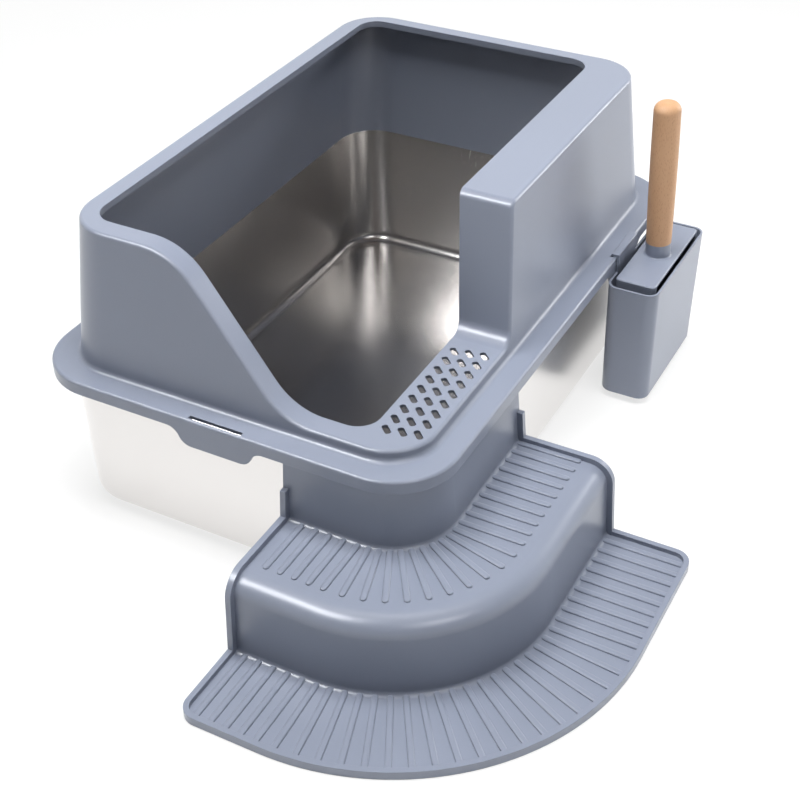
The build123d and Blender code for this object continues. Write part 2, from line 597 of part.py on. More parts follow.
def back_wall_return():
    """Ledge turned in at the back wall's top, which closes the gap to the pan."""
    outside = step_plan(BACK_WALL_TOP_REACH - STEP_WALL / 2)
    inside = step_plan(SEAT_GAP)
    return extrude(Pos(0, 0, BACK_WALL_TOP - BACK_WALL_RETURN) * (outside - inside), BACK_WALL_RETURN)


def is_step_cove(edge):
    """True on the inner corners at the foot of the riser and of the back wall."""
    middle = edge @ 0.5
    level = edge.bounding_box().size.Z < SAME_LEVEL
    treads = ((LOWER_TREAD_HEIGHT, RISER_FOOT_REACH), (UPPER_TREAD_HEIGHT, BACK_WALL_FOOT_REACH))
    for height, reach in treads:
        at_height = abs(middle.Z - height) < SAME_LEVEL
        if level and at_height and abs(reach_of(middle) - reach) < SAME_FACE:
            return True
    return False


def reach_of(point):
    """How far a point stands out from the pan's walls, round the corner's centre."""
    past_x = point.X - (PAN_WIDTH / 2 - STEP_CENTRE_INSET)
    past_y = -point.Y - (PAN_LENGTH / 2 - STEP_CENTRE_INSET)
    if past_x > 0 and past_y > 0:
        return hypot(past_x, past_y) - STEP_CENTRE_INSET
    return max(past_x, past_y) - STEP_CENTRE_INSET


# ---------------------------------------------------------------- scoop holder

def holder_section(z, inset):
    share = (HOLDER_MOUTH - z) / (HOLDER_MOUTH - HOLDER_FLOOR)
    width = HOLDER_WIDTH - 2 * (share * HOLDER_TAPER_WIDTH + inset)
    length = HOLDER_LENGTH - 2 * (share * HOLDER_TAPER_LENGTH + inset)
    return (width, length, HOLDER_CORNER_RADIUS - inset, HOLDER_MIDDLE_X, HOLDER_MIDDLE_Y, z)


def scoop_holder():
    box = tapered_block(holder_section(HOLDER_FLOOR, 0), holder_section(HOLDER_MOUTH, 0))
    box = fillet(box.edges().group_by(Axis.Z)[0], HOLDER_FLOOR_RADIUS)
    floor_top = HOLDER_FLOOR + HOLDER_WALL
    hollow = tapered_block(holder_section(floor_top, HOLDER_WALL),
                           holder_section(HOLDER_MOUTH, HOLDER_WALL))
    return box - hollow + holder_hook()


def holder_hook():
    """Tongue that rises outside the skirt, crosses the flange's edge and drops into its slot."""
    outer_x = HOLDER_LEFT
    slot_middle = FLANGE_WIDTH / 2 - TAB_SLOT_INSET - TAB_SLOT_WIDTH / 2
    lip_left = slot_middle - HOOK_THICKNESS / 2
    bridge_bottom = FLANGE_TOP + SEAT_GAP
    bridge_top = bridge_bottom + HOOK_THICKNESS
    root = HOLDER_MOUTH - HOOK_ROOT
    lip_bottom = bridge_bottom - HOOK_BITE
    profile = [
        (outer_x, root),
        (outer_x + HOOK_THICKNESS, root),
        (outer_x + HOOK_THICKNESS, bridge_top),
        (lip_left, bridge_top),
        (lip_left, lip_bottom),
        (lip_left + HOOK_THICKNESS, lip_bottom),
        (lip_left + HOOK_THICKNESS, bridge_bottom),
        (outer_x, bridge_bottom),
    ]
    section = make_face(Polyline(*profile, close=True))
    tongue = extrude(Plane.XZ * section, HOOK_LENGTH / 2, both=True)
    upper = tongue.edges().filter_by(Axis.Y).group_by(Axis.Z)[-1]
    tongue = fillet(upper, HOOK_THICKNESS / 2)
    return Pos(0, SIDE_TAB_Y, 0) * tongue


# ---------------------------------------------------------------- scoop

def scoop_section(z, inset):
    share = (SCOOP_TOP - z) / (SCOOP_TOP - SCOOP_MOUTH)
    length = SCOOP_LENGTH - 2 * (share * SCOOP_LENGTH_TAPER + inset)
    width = SCOOP_DEPTH - 2 * inset
    return (width, length, SCOOP_CORNER_RADIUS - inset, SCOOP_MIDDLE_X, HOLDER_MIDDLE_Y, z)


def scoop_head():
    outside = tapered_block(scoop_section(SCOOP_MOUTH, 0), scoop_section(SCOOP_TOP, 0))
    outside = fillet(outside.edges().group_by(Axis.Z)[-1], SCOOP_EDGE_RADIUS)
    under_plate = SCOOP_TOP - SCOOP_PLATE
    inside = tapered_block(scoop_section(SCOOP_MOUTH, SCOOP_WALL),
                           scoop_section(under_plate, SCOOP_WALL))
    head = outside - inside
    head = head - open_side() - slotted_floor_cuts()
    head = head + handle_socket()
    foot = [e for e in head.edges() if is_socket_foot(e)]
    head = fillet(foot, SOCKET_FILLET)
    return head - socket_bores()


def is_socket_foot(edge):
    middle = edge @ 0.5
    from_axis = hypot(middle.X - SCOOP_MIDDLE_X, middle.Y - HOLDER_MIDDLE_Y)
    return from_axis < SOCKET_DIAMETER and abs(middle.Z - SCOOP_TOP) < SAME_LEVEL


def open_side():
    """Removes the side opposite the slotted floor and slants the cheeks towards the mouth."""
    right = SCOOP_MIDDLE_X + SCOOP_DEPTH / 2
    left = SCOOP_MIDDLE_X - SCOOP_DEPTH / 2
    top = SCOOP_TOP - SCOOP_PLATE
    inner_right = right - SCOOP_WALL
    cheek_bottom = SCOOP_TOP - SCOOP_CHEEK_HEIGHT
    slant = [
        (left + SCOOP_MOUTH_CHEEK, SCOOP_MOUTH),
        (right, cheek_bottom),
        (right + SCOOP_WALL, cheek_bottom),
        (right + SCOOP_WALL, SCOOP_MOUTH - SCOOP_WALL),
        (left + SCOOP_MOUTH_CHEEK, SCOOP_MOUTH - SCOOP_WALL),
    ]
    slant_cut = extrude(Plane.XZ * make_face(Polyline(*slant, close=True)), SCOOP_LENGTH, both=True)
    slant_cut = Pos(0, HOLDER_MIDDLE_Y, 0) * slant_cut
    gap_length = SCOOP_LENGTH - 2 * (SCOOP_LENGTH_TAPER + SCOOP_CORNER_RADIUS)
    gap_height = top - SCOOP_MOUTH
    gap = Pos(inner_right, HOLDER_MIDDLE_Y, top - gap_height / 2)
    return slant_cut + gap * Box(4 * SCOOP_WALL, gap_length, gap_height)


def slotted_floor_cuts():
    """Two rows of upright slots through the scoop's floor."""
    left = SCOOP_MIDDLE_X - SCOOP_DEPTH / 2
    lower_middle = SCOOP_MOUTH + SCOOP_LIP + SCOOP_SLOT_LENGTH / 2
    upper_middle = lower_middle + SCOOP_SLOT_LENGTH + SCOOP_SLOT_GAP
    pitches = int((SCOOP_LENGTH - 2 * SCOOP_SLOT_MARGIN) / SCOOP_SLOT_PITCH)
    first_y = HOLDER_MIDDLE_Y - SCOOP_SLOT_PITCH * pitches / 2
    slots = Sketch()
    for middle in (lower_middle, upper_middle):
        for index in range(1 + pitches):
            y = first_y + index * SCOOP_SLOT_PITCH
            slots += Pos(y, middle) * Rot(0, 0, 90) * SlotOverall(SCOOP_SLOT_LENGTH, SCOOP_SLOT_WIDTH)
    return Pos(left, 0, 0) * extrude(Plane.YZ * slots, 2 * SCOOP_WALL, both=True)


def handle_frame():
    """Frame at the middle of the back plate's upper face, raked with the handle."""
    return Pos(SCOOP_MIDDLE_X, HOLDER_MIDDLE_Y, SCOOP_TOP) * Rot(0, -HANDLE_RAKE, 0)


def handle_socket():
    radius = SOCKET_DIAMETER / 2
    sunk = SCOOP_PLATE / 2
    collar = Pos(0, 0, (SOCKET_HEIGHT - sunk) / 2) * Cylinder(radius, SOCKET_HEIGHT + sunk)
    return handle_frame() * collar


def socket_bores():
    """The blind bore for the spigot, and the screw's hole through the back plate."""
    bore_radius = SOCKET_DIAMETER / 2 - SOCKET_WALL
    spigot_bore = Pos(0, 0, SOCKET_HEIGHT) * Cylinder(bore_radius, 2 * SOCKET_HEIGHT)
    screw_hole = Cylinder(SCREW_SHANK_DIAMETER / 2 + SCREW_HOLE_CLEARANCE, 4 * SCOOP_PLATE)
    return handle_frame() * (spigot_bore + screw_hole)


def scoop_handle():
    """Turned handle: a spigot in the socket, a shoulder on its rim, and a round tip."""
    socket_radius = SOCKET_DIAMETER / 2
    spigot_radius = socket_radius - SOCKET_WALL - SPIGOT_CLEARANCE
    middle_radius = HANDLE_MIDDLE_DIAMETER / 2
    top_radius = HANDLE_TOP_DIAMETER / 2
    base = SPIGOT_CLEARANCE
    rim = SOCKET_HEIGHT
    tip = rim + HANDLE_LENGTH
    belly = (middle_radius, rim + HANDLE_LENGTH / 2)
    profile = [
        Line((0, base), (spigot_radius, base)),
        Line((spigot_radius, base), (spigot_radius, rim)),
        Line((spigot_radius, rim), (socket_radius, rim)),
        ThreePointArc((socket_radius, rim), belly, (top_radius, tip)),
        Line((top_radius, tip), (0, tip)),
        Line((0, tip), (0, base)),
    ]
    turned = revolve(Plane.XZ * make_face(Curve() + profile), Axis.Z)
    turned = fillet(turned.edges().group_by(Axis.Z)[-1], HANDLE_TIP_RADIUS)
    shank = Cylinder(SCREW_SHANK_DIAMETER / 2, 2 * (SCREW_LENGTH - SCOOP_PLATE))
    return handle_frame() * (turned - shank)


def handle_screw():
    """Round-headed screw driven up through the back plate into the handle's end grain."""
    head_top = -SCOOP_PLATE - SCREW_HOLE_CLEARANCE
    crown = head_top - SCREW_HEAD_HEIGHT
    head = Pos(0, 0, (head_top + crown) / 2) * Cylinder(SCREW_HEAD_DIAMETER / 2, SCREW_HEAD_HEIGHT)
    head = fillet(head.edges().group_by(Axis.Z)[0], SCREW_HEAD_HEIGHT / 2)
    bar = Box(SCREW_HEAD_DIAMETER / 2, SCREW_CROSS_WIDTH, 2 * SCREW_CROSS_DEPTH)
    cross = Pos(0, 0, crown) * (bar + Rot(0, 0, 90) * bar)
    shank_top = SCREW_LENGTH - SCOOP_PLATE
    shank_length = shank_top - head_top
    shank = Pos(0, 0, head_top + shank_length / 2) * Cylinder(SCREW_SHANK_DIAMETER / 2, shank_length)
    return handle_frame() * (head - cross + shank)


os.makedirs("parts", exist_ok=True)
PARTS = {
    "steel_pan": steel_pan,
    "high_side_cover": high_side_cover,
    "corner_steps": corner_steps,
    "scoop_holder": scoop_holder,
    "scoop_head": scoop_head,
    "scoop_handle": scoop_handle,
    "handle_screw": handle_screw,
}
for name, make in PARTS.items():
    piece = make()
    piece.label = name
    export_step(piece, f"parts/{name}.step")
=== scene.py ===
# %% [markdown]
# # A semi-enclosed litter box with corner steps and a standing scoop
# The object is a pressed steel pan, a moulded cover that rests on its rim, a set of corner
# steps that stands beside it, and a scoop in a holder hooked on the cover's edge. The shapes
# of all seven pieces come from the CAD model, which Blender loads as a fixed frame. Two
# things are made here on top of it: soft-edged ribs on the treads, and the litter slots in
# the cover's shelf. The rest is camera, finishes and light.

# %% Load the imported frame
import math

import bmesh
import bpy
from mathutils import Matrix, Vector
from mathutils.bvhtree import BVHTree
from mathutils.interpolate import poly_3d_calc


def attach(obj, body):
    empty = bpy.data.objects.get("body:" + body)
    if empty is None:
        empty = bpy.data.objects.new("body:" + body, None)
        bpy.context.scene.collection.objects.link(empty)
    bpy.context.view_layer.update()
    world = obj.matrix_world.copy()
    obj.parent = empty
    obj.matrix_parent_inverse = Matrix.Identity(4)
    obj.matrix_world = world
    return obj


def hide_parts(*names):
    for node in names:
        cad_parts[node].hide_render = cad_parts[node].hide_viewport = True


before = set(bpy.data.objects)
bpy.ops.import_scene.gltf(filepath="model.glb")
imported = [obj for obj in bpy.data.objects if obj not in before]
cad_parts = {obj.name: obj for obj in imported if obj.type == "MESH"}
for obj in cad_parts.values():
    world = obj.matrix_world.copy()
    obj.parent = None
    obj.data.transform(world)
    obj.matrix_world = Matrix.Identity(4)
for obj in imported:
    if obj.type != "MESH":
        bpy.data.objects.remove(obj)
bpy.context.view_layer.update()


# %% [markdown]
# ## The camera
# A photograph of a box with straight edges holds its own camera: the long edges run to
# vanishing points, and these fix the place, the turn and the focal length. The place below
# was fitted that way, in the frame of the pan, whose underside has the origin at its middle.
# The camera could also be aimed at a target object, but three angles are plainer and keep
# the slight roll of the photograph.

# %% Set the camera
CAMERA_PLACE = (0.60204, -1.08248, 0.90111)
CAMERA_TURN = 28.242
CAMERA_DIP = 36.438
CAMERA_ROLL = -0.637
FOCAL_LENGTH = 64.93
SENSOR_WIDTH = 36.0
NEAREST_SEEN = 0.05
FARTHEST_SEEN = 40.0


def turned(degrees, axis):
    return Matrix.Rotation(math.radians(degrees), 4, axis)


def stand_camera():
    """Turned left from +Y, dipped below level, and rolled about its own line of sight."""
    data = bpy.data.cameras.new("photo_camera")
    data.sensor_width = SENSOR_WIDTH
    data.lens = FOCAL_LENGTH
    data.clip_start = NEAREST_SEEN
    data.clip_end = FARTHEST_SEEN
    camera = bpy.data.objects.new("photo_camera", data)
    bpy.context.collection.objects.link(camera)
    aim = turned(CAMERA_TURN, "Z") @ turned(90 - CAMERA_DIP, "X") @ turned(CAMERA_ROLL, "Z")
    camera.matrix_world = Matrix.Translation(CAMERA_PLACE) @ aim
    bpy.context.scene.camera = camera
    return camera


photo_camera = stand_camera()
bpy.context.scene.view_settings.view_transform = "Standard"
print("camera at", [round(v, 3) for v in photo_camera.matrix_world.translation])

# %% [markdown]
# ## A short way to write nodes
# Every finish here is a small tree of nodes. Writing each node by hand takes four lines, so
# one helper makes a node, fills its sockets and links what is given as another node's output.
# The others name what comes back again and again: arithmetic, a pattern on the piece's own
# coordinates, a value moved into other limits, and a mix of two colours.

# %% Helpers for nodes
def socket_of(made, key):
    """i0 and i1 give an input by its number, any other word by its name."""
    if key[0] == "i" and key[1:].isdigit():
        return made.inputs[int(key[1:])]
    return made.inputs[key.replace("_", " ")]


def node(tree, kind, settings=None, **inputs):
    """Adds a node. An input is a value, or another node's output to link from."""
    made = tree.nodes.new(kind)
    for key, value in (settings or {}).items():
        setattr(made, key, value)
    for key, value in inputs.items():
        socket = socket_of(made, key)
        if isinstance(value, bpy.types.NodeSocket):
            tree.links.new(value, socket)
        else:
            socket.default_value = value
    return made


def calc(tree, operation, *values):
    """One step of arithmetic, the same in shader and geometry trees."""
    sockets = {"i%d" % index: value for index, value in enumerate(values)}
    return node(tree, "ShaderNodeMath", {"operation": operation}, **sockets).outputs[0]


def between(tree, value, low, high, start=0.0, end=1.0):
    """Takes a value that runs from start to end and makes it run from low to high."""
    return node(tree, "ShaderNodeMapRange", Value=value, From_Min=start, From_Max=end,
                To_Min=low, To_Max=high).outputs[0]


def two_tones(tree, factor, one, other):
    """Mixes two colours by a 0 to 1 pattern."""
    mix = node(tree, "ShaderNodeMix", {"data_type": "RGBA"}, Factor=factor, A=one, B=other)
    return mix.outputs["Result"]


# %% Helpers for finishes
def stretched_place(tree, stretch):
    """The piece's own coordinates, stretched by a factor along each axis."""
    place = node(tree, "ShaderNodeTexCoord").outputs["Object"]
    return node(tree, "ShaderNodeMapping", Vector=place, Scale=stretch).outputs[0]


def object_pattern(tree, stretch, **noise):
    place = stretched_place(tree, stretch)
    return node(tree, "ShaderNodeTexNoise", Vector=place, **noise).outputs["Fac"]


def new_finish(name):
    """An empty material with its output node."""
    material = bpy.data.materials.new(name)
    material.use_nodes = True
    material.node_tree.nodes.clear()
    material.node_tree.nodes.new("ShaderNodeOutputMaterial")
    return material


def finish_surface(material, surface):
    """Links a shader to the material's output."""
    tree = material.node_tree
    output = next(n for n in tree.nodes if n.type == "OUTPUT_MATERIAL")
    tree.links.new(surface, output.inputs["Surface"])
    return material


# %% [markdown]
# ## Satin moulded plastic
# The cover, the steps, the holder and the scoop are one blue-grey polypropylene. Its colour
# is even, but the mould's surface isn't mirror smooth: a spark-eroded mould leaves a grain of
# a few tenths of a millimetre, which turns a sharp reflection into a broad sheen. A slower
# unevenness, about a hand across, comes from how the plastic cools. The grain goes in as
# bump, the slow part in roughness and tone. A Bevel node rounds the small edges for the
# light only, so ribs, rims and slot edges catch a thin line as they do on the real thing.

# %% Make the plastic finish
PLASTIC_TONE = (0.212, 0.236, 0.298, 1.0)
PLASTIC_TONE_DEEP = (0.196, 0.219, 0.278, 1.0)
PLASTIC_IOR = 1.49
EVENLY = (1, 1, 1)
COOLING_SCALE = 9.0
GRAIN_SCALE = 2600.0
GRAIN_STRENGTH = 0.12
GRAIN_DEPTH = 0.00012
BEVEL_SAMPLES = 4


def satin_plastic(name, edge_radius, smoothest, roughest):
    material = new_finish(name)
    tree = material.node_tree
    slow = object_pattern(tree, EVENLY, Scale=COOLING_SCALE, Detail=3.0, Roughness=0.5)
    grain = object_pattern(tree, EVENLY, Scale=GRAIN_SCALE, Detail=1.0, Roughness=0.5)
    rounded = node(tree, "ShaderNodeBevel", {"samples": BEVEL_SAMPLES}, Radius=edge_radius)
    bumped = node(tree, "ShaderNodeBump", Strength=GRAIN_STRENGTH, Distance=GRAIN_DEPTH,
                  Height=grain, Normal=rounded.outputs[0])
    shader = node(tree, "ShaderNodeBsdfPrincipled", IOR=PLASTIC_IOR,
                  Base_Color=two_tones(tree, slow, PLASTIC_TONE_DEEP, PLASTIC_TONE),
                  Roughness=between(tree, slow, smoothest, roughest),
                  Normal=bumped.outputs[0])
    return finish_surface(material, shader.outputs[0])


cover_finish = satin_plastic("satin_cover_plastic", edge_radius=0.0008,
                             smoothest=0.28, roughest=0.36)
steps_finish = satin_plastic("satin_steps_plastic", edge_radius=0.0006,
                             smoothest=0.28, roughest=0.36)
holder_finish = satin_plastic("satin_holder_plastic", edge_radius=0.0006,
                              smoothest=0.3, roughest=0.36)
scoop_finish = satin_plastic("satin_scoop_plastic", edge_radius=0.0005,
                             smoothest=0.3, roughest=0.36)
for finish in (cover_finish, steps_finish, holder_finish, scoop_finish):
    print("plastic finish:", finish.name)

# %% [markdown]
# ## Drawn stainless steel
# The pan is pressed from rolled sheet. Rolling leaves fine parallel lines along the sheet's
# length. On the floor and the long sides they run front to back, and where the sheet turns
# up at the ends they run upright. Two stretched noises make the two directions, and the
# face's normal chooses between them. The drawing itself polishes some places more than
# others, so a soft, slow pattern moves the roughness. The colour stays plain: what looks
# brown and black inside the pan is only what it mirrors.

# %% Make the steel finish
STEEL_TONE = (0.61, 0.595, 0.585, 1.0)
LINES_ALONG_BOX = (1800.0, 20.0, 1800.0)
LINES_UPRIGHT = (1800.0, 1800.0, 20.0)
LINES_ROUGHNESS = 0.015
LINES_HEIGHT = 0.00005
DRAWING_SCALE = 5.0


def rolled_lines(tree):
    along = object_pattern(tree, LINES_ALONG_BOX, Scale=1.0, Detail=2.0, Roughness=0.6)
    upright = object_pattern(tree, LINES_UPRIGHT, Scale=1.0, Detail=2.0, Roughness=0.6)
    normal = node(tree, "ShaderNodeTexCoord").outputs["Normal"]
    facing = node(tree, "ShaderNodeSeparateXYZ", Vector=normal).outputs["Y"]
    at_end = calc(tree, "ABSOLUTE", facing)
    return node(tree, "ShaderNodeMix", Factor=at_end, A=along, B=upright).outputs["Result"]


def rolled_steel(name, tone, line_strength, smoothest, roughest):
    material = new_finish(name)
    tree = material.node_tree
    lines = rolled_lines(tree)
    drawn = object_pattern(tree, EVENLY, Scale=DRAWING_SCALE, Detail=2.0, Roughness=0.4)
    slow = between(tree, drawn, smoothest, roughest)
    bumped = node(tree, "ShaderNodeBump", Strength=line_strength, Distance=LINES_HEIGHT,
                  Height=lines)
    shader = node(tree, "ShaderNodeBsdfPrincipled", Base_Color=tone, Metallic=1.0,
                  Roughness=calc(tree, "MULTIPLY_ADD", lines, LINES_ROUGHNESS, slow),
                  Normal=bumped.outputs[0])
    return finish_surface(material, shader.outputs[0])


steel_finish = rolled_steel("rolled_stainless_steel", STEEL_TONE, line_strength=0.03,
                            smoothest=0.22, roughest=0.28)
print("steel finish:", steel_finish.name)

# %% [markdown]
# ## Turned beech
# Beech is told from other pale woods by its flecks: short dark dashes, two or three
# millimetres long, that lie along the grain. Under them the grain itself is faint. The
# handle is turned from one stick, so the pattern is solid and runs the length of it. Noise
# stretched along the handle gives the grain, and cells stretched the same way give the
# flecks, where only the cells' cores count. The screw in the handle's end is plain plated
# steel, and the pan's finish serves it with a duller, rougher setting.

# %% Make the wood finish
BEECH_PALE = (0.57, 0.345, 0.195, 1.0)
BEECH_WARM = (0.46, 0.25, 0.125, 1.0)
BEECH_FLECK = (0.30, 0.135, 0.06, 1.0)
BEECH_IOR = 1.45
BEECH_SMOOTHEST = 0.42
BEECH_ROUGHEST = 0.6
RING_STRETCH = (70, 70, 5)
PORE_STRETCH = (900, 900, 26)
PORE_STRENGTH = 0.2
PORE_DEPTH = 0.00008
FLECK_STRETCH = (1150, 1150, 190)
FLECK_STRENGTH = 0.55
FLECK_CORE = 0.16
FLECK_EDGE = 0.3
SCREW_TONE = (0.6, 0.6, 0.58, 1.0)


def beech_colour(tree):
    rings = object_pattern(tree, RING_STRETCH, Scale=1.0, Detail=3.0, Roughness=0.55,
                           Distortion=0.6)
    wood = two_tones(tree, rings, BEECH_PALE, BEECH_WARM)
    place = stretched_place(tree, FLECK_STRETCH)
    cells = node(tree, "ShaderNodeTexVoronoi", Vector=place, Scale=1.0).outputs["Distance"]
    fleck = between(tree, cells, FLECK_STRENGTH, 0.0, FLECK_CORE, FLECK_EDGE)
    return two_tones(tree, fleck, wood, BEECH_FLECK)


def turned_beech(name):
    material = new_finish(name)
    tree = material.node_tree
    pores = object_pattern(tree, PORE_STRETCH, Scale=1.0, Detail=2.0, Roughness=0.5)
    bumped = node(tree, "ShaderNodeBump", Strength=PORE_STRENGTH, Distance=PORE_DEPTH,
                  Height=pores)
    shader = node(tree, "ShaderNodeBsdfPrincipled", IOR=BEECH_IOR,
                  Base_Color=beech_colour(tree),
                  Roughness=between(tree, pores, BEECH_SMOOTHEST, BEECH_ROUGHEST),
                  Normal=bumped.outputs[0])
    return finish_surface(material, shader.outputs[0])


beech_finish = turned_beech("turned_beech")
screw_finish = rolled_steel("plated_screw_steel", SCREW_TONE, line_strength=0.1,
                            smoothest=0.28, roughest=0.4)
print("wood finish:", beech_finish.name, "screw finish:", screw_finish.name)

# %% [markdown]
# ## Dress the CAD pieces
# The CAD solids already have the true outline, so each keeps its mesh and gets its finish.
# Painting copies instead would give nothing and could drift from the model. Only the cover
# is copied later on, because its slots have to change.

# %% Give each piece its finish
FINISHES = {
    "steel_pan": steel_finish,
    "high_side_cover": cover_finish,
    "corner_steps": steps_finish,
    "scoop_holder": holder_finish,
    "scoop_head": scoop_finish,
    "scoop_handle": beech_finish,
    "handle_screw": screw_finish,
}
for name, finish in FINISHES.items():
    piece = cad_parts[name]
    for slot in piece.material_slots:
        slot.material = finish
    print(name, "has", finish.name, "on", len(piece.data.polygons), "faces")

# %% [markdown]
# ## One rib
# Both treads carry low bars that fan out round the corner, to give the paws a hold and to
# scrape off litter. All bars of a tread are alike, so one is made and laid many times.
#
# The bar starts as a sphere with its poles on X. Each half moves outward to give the
# length, and raising the height to a power below one gives the flat top with soft edges
# that a mould leaves. A bevelled box would do as well, but it has corners where the sphere
# has round ends. The bar is a little wider and higher than the model's sharper one, which
# it covers.

# %% Helpers for the rib's tree
TOP_FLATNESS = 0.4


def xyz(tree, x=0.0, y=0.0, z=0.0):
    return node(tree, "ShaderNodeCombineXYZ", X=x, Y=y, Z=z).outputs[0]


def half_of(tree, value):
    return calc(tree, "MULTIPLY", value, 0.5)


def signed_by(tree, value, size):
    """The size, with the sign of the value."""
    return calc(tree, "MULTIPLY", calc(tree, "SIGN", value), size)


def soft_bar(tree, length, width, rise):
    """One rib along X about the origin: a stretched sphere with a flat top."""
    ball = node(tree, "GeometryNodeMeshUVSphere", Segments=20, Rings=11, Radius=1.0)
    ball = node(tree, "GeometryNodeTransform", Geometry=ball.outputs["Mesh"],
                Rotation=(0.0, math.pi / 2, 0.0))
    place = node(tree, "GeometryNodeInputPosition").outputs[0]
    part = node(tree, "ShaderNodeSeparateXYZ", Vector=place).outputs
    half_width = half_of(tree, width)
    stretch = calc(tree, "SUBTRACT", half_of(tree, length), half_width)
    x = calc(tree, "MULTIPLY_ADD", part["X"], half_width, signed_by(tree, part["X"], stretch))
    y = calc(tree, "MULTIPLY", part["Y"], half_width)
    flat = calc(tree, "POWER", calc(tree, "ABSOLUTE", part["Z"]), TOP_FLATNESS)
    z = calc(tree, "MULTIPLY", signed_by(tree, part["Z"], flat), rise)
    return node(tree, "GeometryNodeSetPosition", Geometry=ball.outputs[0],
                Position=xyz(tree, x, y, z)).outputs[0]


# %% [markdown]
# ## A path round the corner
# A tread goes along the pan's front, round its corner and along its side. The ribs follow
# the same path: it is drawn as a rectangle, whose one corner is rounded, and is then cut off
# where the tread ends. Every size is a named input of the tree, and the two treads will give
# their own values. The lengths add up to say where the last rib stands.

# %% Build the ribs' path
RIB_INPUTS = {
    "Front End X": 0.066,
    "Side End Y": -0.104,
    "Corner Centre X": 0.143,
    "Corner Centre Y": -0.240,
    "Rail Reach": 0.1,
    "First Margin": 0.015,
    "Last Margin": 0.015,
    "Rib Count": 30,
    "Rib Start": 0.05,
    "Rib End": 0.12,
    "Tread Height": 0.08,
    "Rib Width": 0.0058,
    "Rib Rise": 0.0019,
}
FRONT_RIGHT = 1.0
CORNER_PARTS = 60


def rounded_rail(tree, given):
    """A rectangle in the tread's plane, with its front right corner rounded."""
    front = calc(tree, "SUBTRACT", given["Corner Centre Y"], given["Rail Reach"])
    right = calc(tree, "ADD", given["Corner Centre X"], given["Rail Reach"])
    corners = [(given["Front End X"], front), (right, front), (right, given["Side End Y"]),
               (given["Front End X"], given["Side End Y"])]
    sheet = node(tree, "GeometryNodeCurvePrimitiveQuadrilateral", {"mode": "POINTS"})
    for index, (x, y) in enumerate(corners, 1):
        point = xyz(tree, x, y, given["Tread Height"])
        tree.links.new(point, sheet.inputs["Point %d" % index])
    index = node(tree, "GeometryNodeInputIndex").outputs[0]
    only_corner = calc(tree, "COMPARE", index, FRONT_RIGHT, 0.1)
    radius = calc(tree, "MULTIPLY", only_corner, given["Rail Reach"])
    return node(tree, "GeometryNodeFilletCurve", {"mode": "POLY"}, Curve=sheet.outputs[0],
                Count=CORNER_PARTS, Radius=radius).outputs[0]


def cut_rail(tree, given, rail):
    """Keeps the run from the first rib, past the corner, to the last rib."""
    front_run = calc(tree, "SUBTRACT", given["Corner Centre X"], given["Front End X"])
    side_run = calc(tree, "SUBTRACT", given["Side End Y"], given["Corner Centre Y"])
    bend = calc(tree, "MULTIPLY", given["Rail Reach"], math.pi / 2)
    whole = calc(tree, "ADD", calc(tree, "ADD", front_run, side_run), bend)
    last = calc(tree, "SUBTRACT", whole, given["Last Margin"])
    cut = node(tree, "GeometryNodeTrimCurve", {"mode": "LENGTH"}, Curve=rail)
    ends = [s for s in cut.inputs if s.name in ("Start", "End") and s.enabled][-2:]
    tree.links.new(given["First Margin"], ends[0])
    tree.links.new(last, ends[1])
    return cut.outputs[0]


print("a rib is", round(1000 * RIB_INPUTS["Rib Width"], 1), "mm wide")

# %% [markdown]
# ## A fan of ribs
# Geometry Nodes lay the ribs: an even row of points on the path, and on each point one bar,
# turned to look outward. The bars could be 58 copies placed by a loop, but the tree keeps
# them tied to a few named numbers.

# %% Build the fan's tree
def add_inputs(tree, values):
    """One named input for each value, which is also its default."""
    for name, value in values.items():
        kind = "NodeSocketInt" if isinstance(value, int) else "NodeSocketFloat"
        made = tree.interface.new_socket(name, in_out="INPUT", socket_type=kind)
        made.default_value = value


def rib_fan_group():
    """Ribs laid across a rail that runs along the front, round the corner and the side."""
    tree = bpy.data.node_groups.new("rib_fan", "GeometryNodeTree")
    tree.interface.new_socket("Ribs", in_out="OUTPUT", socket_type="NodeSocketGeometry")
    add_inputs(tree, RIB_INPUTS)
    given = node(tree, "NodeGroupInput").outputs
    rail = cut_rail(tree, given, rounded_rail(tree, given))
    dots = node(tree, "GeometryNodeCurveToPoints", {"mode": "COUNT"}, Curve=rail,
                Count=given["Rib Count"])
    outward = node(tree, "ShaderNodeVectorMath", {"operation": "CROSS_PRODUCT"},
                   i0=dots.outputs["Tangent"], i1=(0.0, 0.0, 1.0))
    turn = node(tree, "FunctionNodeAlignRotationToVector", {"axis": "X", "pivot_axis": "Z"},
                Vector=outward.outputs[0])
    length = calc(tree, "SUBTRACT", given["Rib End"], given["Rib Start"])
    middle = half_of(tree, calc(tree, "ADD", given["Rib Start"], given["Rib End"]))
    offset = xyz(tree, calc(tree, "SUBTRACT", middle, given["Rail Reach"]))
    bar = soft_bar(tree, length, given["Rib Width"], given["Rib Rise"])
    bar = node(tree, "GeometryNodeTransform", Geometry=bar, Translation=offset)
    laid = node(tree, "GeometryNodeInstanceOnPoints", Points=dots.outputs["Points"],
                Instance=bar.outputs[0], Rotation=turn.outputs[0])
    node(tree, "NodeGroupOutput", Ribs=laid.outputs[0])
    return tree


rib_fan = rib_fan_group()
print("rib tree has", len(rib_fan.nodes), "nodes and inputs", list(RIB_INPUTS))

# %% [markdown]
# ## Lay the two fans
# The plan of the treads is measured from the centre of the pan's rounded corner, and so are
# the ribs. The upper fan has 25 bars and the lower one 33. Both belong to the steps, so one
# tree joins them, realizes the instances and gives them the steps' own plastic. The result
# is then taken over as a plain mesh, so that nothing is left to compute later.

